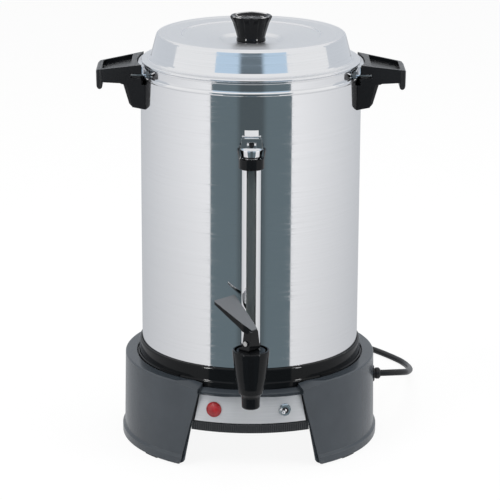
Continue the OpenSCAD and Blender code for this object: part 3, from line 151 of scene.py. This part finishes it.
class Shader:
    """One Principled material with short calls for its nodes."""

    def __init__(self, name, **sockets):
        self.material = bpy.data.materials.new(name)
        self.material.use_nodes = True
        self.tree = self.material.node_tree
        self.bsdf = self.tree.nodes["Principled BSDF"]
        for key, value in sockets.items():
            self.set(key.replace("_", " ").title().replace("Ior", "IOR"), value)
        self.coords = self.add("TexCoord").outputs["Object"]
        self.last_normal = None

    def set(self, socket, value):
        """Writes a value on a socket of the Principled node."""
        self.bsdf.inputs[socket].default_value = (*value, 1) if isinstance(value, tuple) else value

    def add(self, kind, links=None, values=None, **properties):
        """A new node, with its links and values by socket."""
        node = self.tree.nodes.new("ShaderNode" + kind)
        for key, value in properties.items():
            setattr(node, key, value)
        for key, value in (values or {}).items():
            node.inputs[key].default_value = value
        for key, source in (links or {}).items():
            self.tree.links.new(source, node.inputs[key])
        return node

    def join(self, source, socket):
        """Links an output to a socket of the Principled node."""
        self.tree.links.new(source, self.bsdf.inputs[socket])

    def stretched(self, scale):
        """The object's coordinates, scaled along each axis."""
        return self.add("Mapping", {"Vector": self.coords}, {"Scale": scale}).outputs[0]

    def rings(self, along, around=6):
        """Coordinates that change fast with the radius and height, and slowly round the axis."""
        split = self.add("SeparateXYZ", {0: self.coords})
        flat = self.add("CombineXYZ", {"X": split.outputs[0], "Y": split.outputs[1]})
        radius = self.add("VectorMath", {0: flat.outputs[0]}, operation="LENGTH").outputs["Value"]
        depth = self.add("Math", {0: radius, 1: split.outputs[2]}, operation="ADD").outputs[0]
        packed = self.add("CombineXYZ", {"X": depth, "Y": split.outputs[0], "Z": split.outputs[1]})
        return self.add("Mapping", {"Vector": packed.outputs[0]},
                        {"Scale": (along, around, around)}).outputs[0]

    def facing_up(self, low, high):
        """1 on faces that look up, 0 on upright ones."""
        normal = self.add("SeparateXYZ", {0: self.add("TexCoord").outputs["Normal"]}).outputs[2]
        return self.spread(normal, low, high)

    def facing_in(self):
        """1 on the faces that look at the pot's own axis, 0 on the rest."""
        flat = self.add("VectorMath", {0: self.coords}, {1: (1, 1, 0)}, operation="MULTIPLY")
        turned = self.add("VectorMath", {0: self.add("TexCoord").outputs["Normal"],
                                         1: flat.outputs[0]}, operation="DOT_PRODUCT")
        return self.spread(turned.outputs["Value"], -0.002, -0.01)

    def height(self, low, high):
        """1 above the height high, 0 below the height low, in metres."""
        return self.spread(self.add("SeparateXYZ", {0: self.coords}).outputs[2], low, high)

    def scaled(self, a, b, operation="MULTIPLY"):
        """a times b, or another operation on the two; b is a number or an output."""
        node = self.add("Math", {0: a}, operation=operation)
        if isinstance(b, float):
            node.inputs[1].default_value = b
        else:
            self.tree.links.new(b, node.inputs[1])
        return node.outputs[0]

    def noise(self, vector, scale=1.0, detail=3.0, rough=0.5):
        """Cloudy noise from 0 to 1."""
        return self.add("TexNoise", {"Vector": vector},
                        {"Scale": scale, "Detail": detail, "Roughness": rough}).outputs[0]

    def cells(self, vector, scale, feature="F1"):
        """The distance to the middle of the cell."""
        return self.add("TexVoronoi", {"Vector": vector}, {"Scale": scale},
                        feature=feature).outputs["Distance"]

    def spread(self, value, low, high, to_low=0.0, to_high=1.0):
        """Maps the range low..high of a value onto to_low..to_high."""
        return self.add("MapRange", {0: value}, {1: low, 2: high, 3: to_low, 4: to_high}).outputs[0]

    def mixed(self, factor, a, b):
        """A colour between a and b, each a tuple or an output."""
        node = self.add("Mix", data_type="RGBA")
        self.tree.links.new(factor, node.inputs[0])
        for slot, color in ((6, a), (7, b)):    # the colour sockets of a Mix node
            if isinstance(color, tuple):
                node.inputs[slot].default_value = (*color, 1)
            else:
                self.tree.links.new(color, node.inputs[slot])
        return node.outputs[2]

    def edges(self, radius):
        """1 along edges that a worn part shows, 0 on its faces."""
        bevel = self.add("Bevel", values={"Radius": radius}, samples=4).outputs[0]
        normal = self.add("NewGeometry").outputs["Normal"]
        dot = self.add("VectorMath", {0: bevel, 1: normal}, operation="DOT_PRODUCT").outputs[1]
        return self.spread(dot, 0.995, 0.9)

    def soften(self, radius):
        """Rounds sharp edges in the shading."""
        self.last_normal = self.add("Bevel", values={"Radius": radius}, samples=4).outputs[0]
        self.join(self.last_normal, "Normal")

    def bump(self, height, strength, distance):
        """Fine relief, on top of what soften or an earlier bump did."""
        links = {"Height": height}
        if self.last_normal is not None:
            links["Normal"] = self.last_normal
        node = self.add("Bump", links, {"Strength": strength, "Distance": distance})
        self.last_normal = node.outputs[0]
        self.join(self.last_normal, "Normal")


def give(shader, *names):
    """Puts the material on CAD nodes, by name, or on new pieces."""
    for name in names:
        obj = NODES[name] if isinstance(name, str) else name
        if obj.material_slots:
            for material_slot in obj.material_slots:
                material_slot.material = shader.material
        else:
            obj.data.materials.append(shader.material)


# ---------------------------------------------------------------- metals


def spun(name, color, rough, top_rough, lines):
    """Polished sheet with fine turned lines, duller where it faces up."""
    s = Shader(name, metallic=1.0)
    fine = s.noise(s.rings(lines), 1, 2, 0.7)
    streak = s.noise(s.rings(lines * 0.22, 4), 1, 2, 0.6)
    cloud = s.noise(s.coords, 9, 3)
    turned = s.spread(s.scaled(fine, s.spread(cloud, 0.3, 0.7, 0.9, 1.1)), 0.35, 0.7)
    s.join(s.mixed(turned, color, tuple(c * 0.965 for c in color)), "Base Color")
    upright = s.spread(s.facing_up(0.55, 0.95), 0, 1, 1, 0.15)
    scratch = s.scaled(s.scaled(s.spread(fine, 0.42, 0.7), s.spread(streak, 0.3, 0.62)), upright)
    polish = s.add("MapRange", {0: scratch}, {3: rough, 4: rough + 0.2}).outputs[0]
    dull = s.scaled(s.facing_up(0.55, 0.95), top_rough)
    s.join(s.scaled(polish, dull, "ADD"), "Roughness")
    return s


def satin_inside(s):
    """The same sheet, left satin on the side that faces the axis."""
    inside = s.facing_in()
    outer = s.bsdf.inputs["Roughness"].links[0].from_socket
    s.join(s.scaled(outer, s.scaled(inside, 0.35), "ADD"), "Roughness")
    s.join(s.spread(inside, 0, 1, 1, 0.45), "Metallic")
    return s


give(satin_inside(spun("pot_metal", (0.855, 0.862, 0.878), 0.045, 0.0, 3200)), "pot")
give(spun("lid_metal", (0.82, 0.83, 0.85), 0.05, 0.3, 1600), "lid")


def satin_metal(name, color, rough, grain):
    """Plain sheet or turned metal that only shows inside."""
    s = Shader(name, metallic=1.0)
    cloud = s.noise(s.coords, 30, 4)
    fine = s.noise(s.stretched((40, 40, grain)), 1, 3)
    s.join(s.mixed(s.spread(cloud, 0.35, 0.7), color, tuple(c * 0.82 for c in color)), "Base Color")
    s.join(s.spread(fine, 0.3, 0.7, rough - 0.06, rough + 0.08), "Roughness")
    s.bump(fine, 0.15, 0.00003)
    return s


give(satin_metal("inner_metal", (0.76, 0.765, 0.775), 0.3, 700),
     "warmer_plate", "stem", "stem_base", "basket", "spreader", "pump_disc")
give(satin_metal("steel", (0.6, 0.6, 0.59), 0.3, 900), "cover_screws", "clamp_nut", "well_clamp",
     "handle_screws", "shank_nut", "knob_screw", "valve_stem", "lever_pin", "valve_spring")
give(satin_metal("brass", (0.8, 0.63, 0.3), 0.24, 900), "plug_blades")


def chrome():
    """Bright plating, faintly smudged."""
    s = Shader("chrome", metallic=1.0)
    smudge = s.noise(s.coords, 60, 4)
    s.join(s.mixed(s.spread(smudge, 0.3, 0.7), (0.9, 0.905, 0.915), (0.84, 0.845, 0.86)),
           "Base Color")
    s.join(s.spread(smudge, 0.35, 0.75, 0.035, 0.09), "Roughness")
    s.soften(0.0003)
    return s


give(chrome(), "toggle_nut", "toggle_lever", "handle_brackets", "gauge_cap")


def shield_metal():
    """Bright outside, and dull in the trough behind the glass."""
    s = Shader("shield_metal", metallic=1.0)
    low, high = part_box("gauge_shield")
    middle = s.add("Mapping", {"Vector": s.coords}, {"Location": (0, -(low[1] + high[1]) / 2, 0),
                                                     "Scale": (1, 1, 0)}).outputs[0]
    radius = s.add("VectorMath", {0: middle}, operation="LENGTH").outputs["Value"]
    outer = (high[0] - low[0]) / 2
    inside = s.spread(radius, outer - 0.3 * MM, outer - 0.6 * MM)
    smudge = s.noise(s.coords, 60, 4)
    s.join(s.mixed(inside, (0.88, 0.885, 0.895), (0.74, 0.73, 0.725)), "Base Color")
    s.join(s.spread(inside, 0, 1, 1, 0.25), "Metallic")
    s.join(s.spread(s.scaled(inside, s.spread(smudge, 0.2, 0.8, 0.8, 1.2)), 0, 1, 0.06, 0.42),
           "Roughness")
    return s


give(shield_metal(), "gauge_shield")


def plate_metal():
    """Brushed foil with a clear coat of lacquer."""
    s = Shader("plate_metal", metallic=0.6, coat_weight=0.25, coat_roughness=0.12)
    lines = s.noise(s.stretched((24, 24, 2600)), 1, 3, 0.6)
    cloud = s.noise(s.coords, 40, 3)
    s.join(s.mixed(s.spread(lines, 0.25, 0.75), (0.6, 0.6, 0.615), (0.72, 0.725, 0.74)),
           "Base Color")
    s.join(s.spread(cloud, 0.3, 0.7, 0.4, 0.5), "Roughness")
    s.soften(0.0003)
    s.bump(lines, 0.1, 0.00003)
    return s


give(plate_metal(), "control_plate")


def cover_metal():
    """Zinc plated sheet, with the flakes of its coating."""
    s = Shader("plated_sheet", metallic=1.0)
    flakes = s.add("TexVoronoi", {"Vector": s.coords}, {"Scale": 170}).outputs["Color"]
    tone = s.add("SeparateColor", {0: flakes}).outputs[0]
    s.join(s.mixed(tone, (0.46, 0.47, 0.48), (0.62, 0.63, 0.64)), "Base Color")
    s.join(s.spread(tone, 0, 1, 0.32, 0.46), "Roughness")
    return s


give(cover_metal(), "bottom_cover")


def sheath():
    """The heater's sheath, browned by heat."""
    s = Shader("heater_sheath", metallic=0.8)
    burnt = s.noise(s.coords, 45, 5)
    s.join(s.mixed(s.spread(burnt, 0.35, 0.7), (0.17, 0.15, 0.135), (0.34, 0.3, 0.26)),
           "Base Color")
    s.join(s.spread(burnt, 0.3, 0.7, 0.42, 0.62), "Roughness")
    s.bump(s.noise(s.coords, 500, 3), 0.2, 0.00005)
    return s


give(sheath(), "heating_element")

# ---------------------------------------------------------------- plastics and rubber


def moulded(name, color, rough, grain, depth, worn=None, edge=0.0004, level=0.35):
    """Moulded plastic or rubber: fine surface grain, faint cloud, edges a little rubbed."""
    s = Shader(name, specular_ior_level=level)
    cloud = s.noise(s.coords, 24, 4)
    speck = s.noise(s.coords, grain, 3, 0.6)
    base = s.mixed(s.spread(cloud, 0.3, 0.7), color, tuple(c * 1.25 for c in color))
    if worn:
        rub = s.scaled(s.edges(edge), s.spread(cloud, 0.4, 0.65))
        base = s.mixed(rub, base, worn)
    s.join(base, "Base Color")
    s.join(s.spread(speck, 0.3, 0.7, rough * 0.88, rough * 1.14), "Roughness")
    s.soften(edge)
    s.bump(speck, 0.3, depth)
    return s


give(moulded("gloss_black", (0.0025, 0.0028, 0.0032), 0.07, 260, 0.000004, edge=0.0005, level=0.16),
     "seat_ring", "faucet_body", "bonnet", "gauge_collar")
give(moulded("knob_black", (0.003, 0.0032, 0.0038), 0.1, 400, 0.000004, edge=0.0003, level=0.16),
     "knob")
give(moulded("satin_black", (0.0035, 0.0038, 0.0045), 0.24, 900, 0.000004, (0.03, 0.031, 0.033),
             level=0.15),
     "handle_left", "handle_right")
give(moulded("shell_grey", (0.036, 0.044, 0.053), 0.2, 1700, 0.000016, (0.1, 0.11, 0.12), 0.0006,
             0.5),
     "base_shell")
give(moulded("switch_black", (0.02, 0.02, 0.022), 0.4, 900, 0.00003), "switch_body")
give(moulded("foot_rubber", (0.018, 0.018, 0.019), 0.62, 700, 0.00006), "rubber_feet",
     "gauge_washers")
give(moulded("cord_black", (0.007, 0.0075, 0.0085), 0.33, 1100, 0.00003), "plug", "strain_relief",
     cord)
give(moulded("black_screw", (0.012, 0.012, 0.013), 0.3, 900, 0.00003), "gauge_screw")
give(moulded("phenolic_brown", (0.1, 0.055, 0.035), 0.35, 500, 0.00004), "thermostat")


def lever_black():
    """Gloss on the lever's sides; the faces that look up are lighter in colour and duller."""
    s = Shader("lever_black", specular_ior_level=0.2)
    top = s.facing_up(0.35, 0.6)
    cloud = s.noise(s.coords, 40, 3)
    s.join(s.mixed(top, (0.003, 0.0032, 0.0036), (0.085, 0.09, 0.097)), "Base Color")
    s.join(s.spread(s.scaled(top, s.spread(cloud, 0.2, 0.8, 0.85, 1.15)), 0, 1, 0.08, 0.5),
           "Roughness")
    s.soften(0.0005)
    return s


give(lever_black(), "faucet_lever")


def ribbed_black():
    """The control housing, with fine upright ribs along its lower lip."""
    s = moulded("housing_black", (0.018, 0.0195, 0.022), 0.32, 1500, 0.00003)
    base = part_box("control_housing")[0][2]
    ribs = s.add("TexWave", {"Vector": s.coords}, {"Scale": 140.0}, wave_type="BANDS",
                 bands_direction="X").outputs["Fac"]
    lip = s.scaled(s.height(base + 9.0 * MM, base + 8.2 * MM), ribs)
    s.bump(lip, 0.8, 0.0005)
    return s


give(ribbed_black(), "control_housing")


def silicone():
    """Soft brick red rubber that lets a little light in."""
    s = Shader("silicone", subsurface_weight=0.25, subsurface_scale=0.003)
    cloud = s.noise(s.coords, 60, 3)
    s.join(s.mixed(cloud, (0.5, 0.17, 0.11), (0.6, 0.24, 0.17)), "Base Color")
    s.join(s.spread(cloud, 0.3, 0.7, 0.4, 0.55), "Roughness")
    s.soften(0.0003)
    return s


give(silicone(), "outer_washer", "inner_washer", "seat_cup")


def sleeving(name, a, b):
    """Woven sleeve of glass fibre."""
    s = Shader(name)
    weave = s.add("TexWave", {"Vector": s.stretched((900, 900, 900))},
                  {"Scale": 1.0, "Distortion": 1.5}, wave_type="BANDS",
                  bands_direction="DIAGONAL").outputs["Fac"]
    s.join(s.mixed(weave, a, b), "Base Color")
    s.set("Roughness", 0.75)
    s.bump(weave, 0.4, 0.00012)
    return s


give(sleeving("lead_sleeve", (0.7, 0.69, 0.65), (0.86, 0.85, 0.81)), "wiring")
give(sleeving("fuse_sleeve", (0.55, 0.48, 0.35), (0.74, 0.67, 0.52)), "thermal_fuse")


def red_lens():
    """Dark red plastic, moulded in facets."""
    s = Shader("red_lens", ior=1.49, transmission_weight=0.35)
    facets = s.cells(s.stretched((1, 0.35, 1)), 620, "SMOOTH_F1")
    glow = s.noise(s.coords, 90, 2)
    s.join(s.mixed(s.spread(glow, 0.3, 0.7), (0.3, 0.012, 0.016), (0.52, 0.035, 0.04)),
           "Base Color")
    s.join(s.spread(glow, 0.3, 0.7, 0.1, 0.16), "Roughness")
    s.bump(facets, 0.6, 0.0004)
    return s


give(red_lens(), "pilot_lens")


def clear(name, color, index):
    """Clear glass that casts no shadow on what it holds."""
    s = Shader(name, ior=index, transmission_weight=1.0)
    haze = s.noise(s.coords, 35, 4)
    s.join(s.mixed(haze, color, tuple(c * 0.97 for c in color)), "Base Color")
    s.join(s.spread(haze, 0.4, 0.8, 0.0, 0.05), "Roughness")
    lit = s.add("MixShader", {0: s.add("LightPath").outputs["Is Shadow Ray"],
                              1: s.bsdf.outputs[0]})
    s.tree.links.new(s.add("BsdfTransparent").outputs[0], lit.inputs[2])
    s.tree.links.new(lit.outputs[0], s.tree.nodes["Material Output"].inputs["Surface"])
    return s


give(clear("gauge_glass", (0.96, 0.985, 0.98), 1.47), "gauge_glass")
give(clear("lamp_glass", (0.98, 0.9, 0.85), 1.47), "pilot_lamp")

# ---------------------------------------------------------------- floor and backdrop


def seen_white(tree, white, glare):
    """How far a surface turns white: for camera rays, and for glossy and transmitted ones."""
    path = tree.nodes.new("ShaderNodeLightPath")
    either = tree.nodes.new("ShaderNodeMath")
    either.operation = "MAXIMUM"
    tree.links.new(path.outputs["Is Glossy Ray"], either.inputs[0])
    tree.links.new(path.outputs["Is Transmission Ray"], either.inputs[1])
    bounce = tree.nodes.new("ShaderNodeMath")
    bounce.operation = "MULTIPLY"
    bounce.inputs[1].default_value = glare
    tree.links.new(either.outputs[0], bounce.inputs[0])
    camera_part = tree.nodes.new("ShaderNodeMath")
    camera_part.operation = "MULTIPLY"
    camera_part.inputs[1].default_value = white
    tree.links.new(path.outputs["Is Camera Ray"], camera_part.inputs[0])
    factor = tree.nodes.new("ShaderNodeMath")
    factor.operation = "MAXIMUM"
    tree.links.new(camera_part.outputs[0], factor.inputs[0])
    tree.links.new(bounce.outputs[0], factor.inputs[1])
    return factor.outputs[0]


FLOOR_R = 7
FLOOR_SIDES = 64
FLOOR_TONE = (0.86, 0.9)      # the grain's darkest and lightest grey
FLOOR_GLARE = 0.5             # how white the floor looks in what mirrors it
FLOOR_WHITE = 0.9             # how white it looks to the camera, which leaves the shadow
WORLD_LIGHT = 0.6
WORLD_GLARE = 0.92            # the world's strength in what mirrors it

floor_mesh = bpy.data.meshes.new("floor")
floor_mesh.from_pydata([(FLOOR_R * math.cos(i / FLOOR_SIDES * math.tau),
                         FLOOR_R * math.sin(i / FLOOR_SIDES * math.tau), 0)
                        for i in range(FLOOR_SIDES)], [], [list(range(FLOOR_SIDES))])
floor = link_new("floor", floor_mesh)
floor_material = bpy.data.materials.new("floor")
floor_material.use_nodes = True
tree = floor_material.node_tree
tree.nodes.clear()
paper = tree.nodes.new("ShaderNodeBsdfDiffuse")
grain = tree.nodes.new("ShaderNodeTexNoise")
grain.inputs["Scale"].default_value = 300
tone = tree.nodes.new("ShaderNodeMapRange")
tone.inputs["To Min"].default_value, tone.inputs["To Max"].default_value = FLOOR_TONE
tree.links.new(grain.outputs[0], tone.inputs[0])
tree.links.new(tone.outputs[0], paper.inputs["Color"])
white = tree.nodes.new("ShaderNodeEmission")
white.inputs["Strength"].default_value = 1.0
blend = tree.nodes.new("ShaderNodeMixShader")
tree.links.new(seen_white(tree, FLOOR_WHITE, FLOOR_GLARE), blend.inputs[0])
tree.links.new(paper.outputs[0], blend.inputs[1])
tree.links.new(white.outputs[0], blend.inputs[2])
surface = tree.nodes.new("ShaderNodeOutputMaterial")
tree.links.new(blend.outputs[0], surface.inputs["Surface"])
floor_mesh.materials.append(floor_material)

# World: an even light, white where it is seen directly
world = bpy.data.worlds.new("world")
bpy.context.scene.world = world
world.use_nodes = True
tree = world.node_tree
tree.nodes.clear()
path = tree.nodes.new("ShaderNodeLightPath")
level = tree.nodes.new("ShaderNodeMapRange")
level.inputs["To Min"].default_value = WORLD_LIGHT
level.inputs["To Max"].default_value = WORLD_GLARE
seen = tree.nodes.new("ShaderNodeMath")
seen.operation = "MAXIMUM"
tree.links.new(path.outputs["Is Glossy Ray"], seen.inputs[0])
tree.links.new(path.outputs["Is Transmission Ray"], seen.inputs[1])
tree.links.new(seen.outputs[0], level.inputs[0])
total = tree.nodes.new("ShaderNodeMath")
total.operation = "MAXIMUM"
tree.links.new(level.outputs[0], total.inputs[0])
tree.links.new(path.outputs["Is Camera Ray"], total.inputs[1])
sky = tree.nodes.new("ShaderNodeBackground")
sky.inputs["Color"].default_value = (1, 1, 1, 1)
tree.links.new(total.outputs[0], sky.inputs["Strength"])
tree.links.new(sky.outputs[0], tree.nodes.new("ShaderNodeOutputWorld").inputs["Surface"])

# ---------------------------------------------------------------- what the metal mirrors

APEX = (0, -0.062)    # the cards' bearings turn about this point; 0 is the front, in degrees
DARK = 42.6           # half angle of the dark card in front
NEAR, FAR = 0.05, 3.6

# The cards' plain colours
SLATE = (0.13, 0.17, 0.19)
CAMERA_SHAPE = (0.08, 0.1, 0.11)
PALE = (0.92, 0.92, 0.93)
DIM = (0.5, 0.52, 0.55)
SKY = (0.55, 0.7, 0.85)
BACK = (0.65, 0.68, 0.72)


def between(a, b, share):
    """The colour a share of the way from a to b, a share that stays within 0 and 1."""
    share = min(max(share, 0), 1)
    return tuple(p + (q - p) * share for p, q in zip(a, b))


def steps(start, end, count):
    """Even steps from start to end, both included."""
    return [start + (end - start) * i / count for i in range(count + 1)]


def grid_card(name, us, vs, place, tone):
    """A glowing card that only shows in reflections, with its own tone at each point."""
    spots = [(u, v) for u in us for v in vs]
    n = len(vs)
    faces = [(i * n + j, i * n + n + j, i * n + n + j + 1, i * n + j + 1)
             for i in range(len(us) - 1) for j in range(n - 1)]
    mesh = bpy.data.meshes.new(name)
    mesh.from_pydata([place(u, v) for u, v in spots], [], faces)
    layer = mesh.color_attributes.new("glow", "FLOAT_COLOR", "POINT")
    for item, (u, v) in zip(layer.data, spots):
        item.color = (*tone(u, v), 1)
    material = bpy.data.materials.new(name)
    material.use_nodes = True
    nodes = material.node_tree.nodes
    nodes.clear()
    read = nodes.new("ShaderNodeAttribute")
    read.attribute_name = "glow"
    lit = nodes.new("ShaderNodeEmission")
    material.node_tree.links.new(read.outputs["Color"], lit.inputs["Color"])
    material.node_tree.links.new(lit.outputs[0],
                                 nodes.new("ShaderNodeOutputMaterial").inputs["Surface"])
    mesh.materials.append(material)
    obj = link_new(name, mesh)
    obj.visible_camera = False
    obj.visible_diffuse = False
    obj.visible_shadow = False


def around(bearing, radius, z=0.001):
    """The point at a bearing and distance from the apex, just above the floor."""
    a = math.radians(bearing)
    return (APEX[0] + radius * math.sin(a), APEX[1] - radius * math.cos(a), z)


def dark_edge(bearing):
    """Where the dark card starts, at a bearing: straight, with rounded corners."""
    return 0.21 + 0.15 * (abs(bearing) / DARK) ** 8


def dark_tone(bearing, z=0):
    """The dark card: slate at the foot, pale blue higher up, the camera's shape in the middle."""
    side = between(SLATE, SKY, (z - 0.5) / 0.8)
    middle = between(CAMERA_SHAPE, side, (z - 1.5) / 0.7)
    return between(middle, side, (abs(bearing) - 11) / 5)


def pale_tone(bearing, radius):
    """The pale floor: its light falls evenly from the front round to the back, and it is dimmer
    near the urn, a painted shadow of the urn.
    """
    # painted shadow: the card is dimmer near the urn, where the urn shades the floor
    light = 0.85 + 0.15 * min(radius / 1.3, 1)
    return tuple(c * light for c in between(PALE, DIM, (bearing - DARK) / (180 - DARK)))


def within_edge(bearing, share):
    """The distance at a share of the way out to the dark card's edge."""
    return NEAR + (dark_edge(bearing) - NEAR) * share


grid_card("dark_floor_card", steps(-DARK, DARK, 46), [0, 1],
          lambda b, t: around(b, dark_edge(b) + (FAR - dark_edge(b)) * t),
          lambda b, t: dark_tone(b))
grid_card("near_floor_card", steps(-DARK, DARK, 46), [0, 1],
          lambda b, t: around(b, within_edge(b, t)),
          lambda b, t: pale_tone(DARK, within_edge(b, t)))
grid_card("side_floor_card", steps(DARK, 360 - DARK, 120),
          [NEAR + (FAR - NEAR) * t * t for t in steps(0, 1, 14)],
          around, lambda b, r: pale_tone(min(b, 360 - b), r))
grid_card("front_wall_card", steps(-DARK, DARK, 46), steps(0.001, 2.6, 26),
          lambda b, z: around(b, FAR, z), dark_tone)
grid_card("back_wall_card", steps(100, 260, 20), [0.001, 2.4],
          lambda b, z: around(b, FAR, z), lambda b, z: BACK)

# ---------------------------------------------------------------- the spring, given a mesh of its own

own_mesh(NODES["valve_spring"])

# ---------------------------------------------------------------- lamps

LAMP_TARGET = (0, 0, 0.2)


def softbox(name, at, size, power, glossy=False):
    """An area lamp that looks at the urn, and shows in what mirrors it only when glossy."""
    data = bpy.data.lights.new(name, "AREA")
    data.shape = "RECTANGLE"
    data.size, data.size_y = size
    data.energy = power
    obj = link_new(name, data)
    way = Vector(LAMP_TARGET) - Vector(at)
    obj.matrix_world = Matrix.Translation(at) @ way.to_track_quat("-Z", "Y").to_matrix().to_4x4()
    obj.visible_glossy = glossy
    return obj


softbox("key", (-1.6, -1.2, 2.2), (1.2, 1.2), 34)
softbox("fill", (1.8, -0.9, 1.7), (1.0, 1.4), 22)
softbox("top", (0.1, 0.3, 2.6), (1.4, 1.4), 24)


def strip(name, at, size, power, *nodes):
    """A lamp for the highlights of the black parts only."""
    lamp = softbox(name, at, size, power, glossy=True)
    parts = bpy.data.collections.new(name + "_parts")
    for node in nodes:
        parts.objects.link(NODES[node])
    lamp.light_linking.receiver_collection = parts


GLOSSY = ("seat_ring", "faucet_body", "bonnet", "faucet_lever", "gauge_collar", "knob",
          "handle_left", "handle_right")
strip("left_strip", (-1.9, -2.0, 0.9), (0.3, 1.6), 70, *GLOSSY)
strip("right_strip", (2.1, -1.8, 0.9), (0.3, 1.6), 60, *GLOSSY)
strip("back_strip", (0.2, 1.6, 1.5), (1.6, 0.5), 16, *GLOSSY)

# ---------------------------------------------------------------- view transform

bpy.context.scene.view_settings.view_transform = "Standard"
